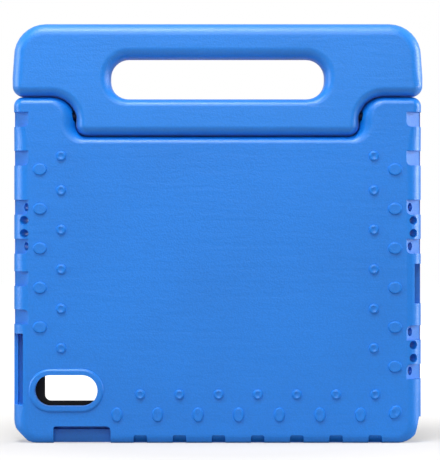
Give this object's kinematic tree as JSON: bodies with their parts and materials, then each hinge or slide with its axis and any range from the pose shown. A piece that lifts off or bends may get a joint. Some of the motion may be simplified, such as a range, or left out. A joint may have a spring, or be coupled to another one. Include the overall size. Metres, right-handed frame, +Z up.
{
  "type": "kids tablet case with handle",
  "caption": "Soft foam tablet case with a fold-back carrying handle, a screen window, a camera hole, side openings for buttons and port, and grip notches.",
  "frame": {"origin": "middle of the bottom edge that the case stands on, below the middle of the handle's thickness", "axes": "+Z up from the bottom edge to the handle, +Y from the back panel to the screen, +X along the hinge to the right as seen from behind"},
  "size_m": [0.2698, 0.026, 0.2752],
  "materials": {
    "case_foam": "matte foam with a fine leathery skin",
    "handle_foam": "matte foam with a fine leathery skin",
    "pin_plastic": "satin dark blue",
    "bush_plastic": "satin dark blue",
    "black_film": "satin black",
    "clear_film": "clear and glossy"
  },
  "bodies": {
    "case": {"case_body": "case_foam", "hinge_bush_left": "bush_plastic", "hinge_bush_right": "bush_plastic", "screen_border": "black_film", "screen_film": "clear_film"},
    "folding_handle": {"handle": "handle_foam", "hinge_pin_left": "pin_plastic", "hinge_pin_right": "pin_plastic"}
  },
  "joints": [
    {"name": "handle_fold", "type": "hinge", "parent": "case", "child": "folding_handle", "pos_m": [0, -0.0034, 0.21435], "axis": [1, 0, 0], "range_deg": [0, 100]}
  ]
}
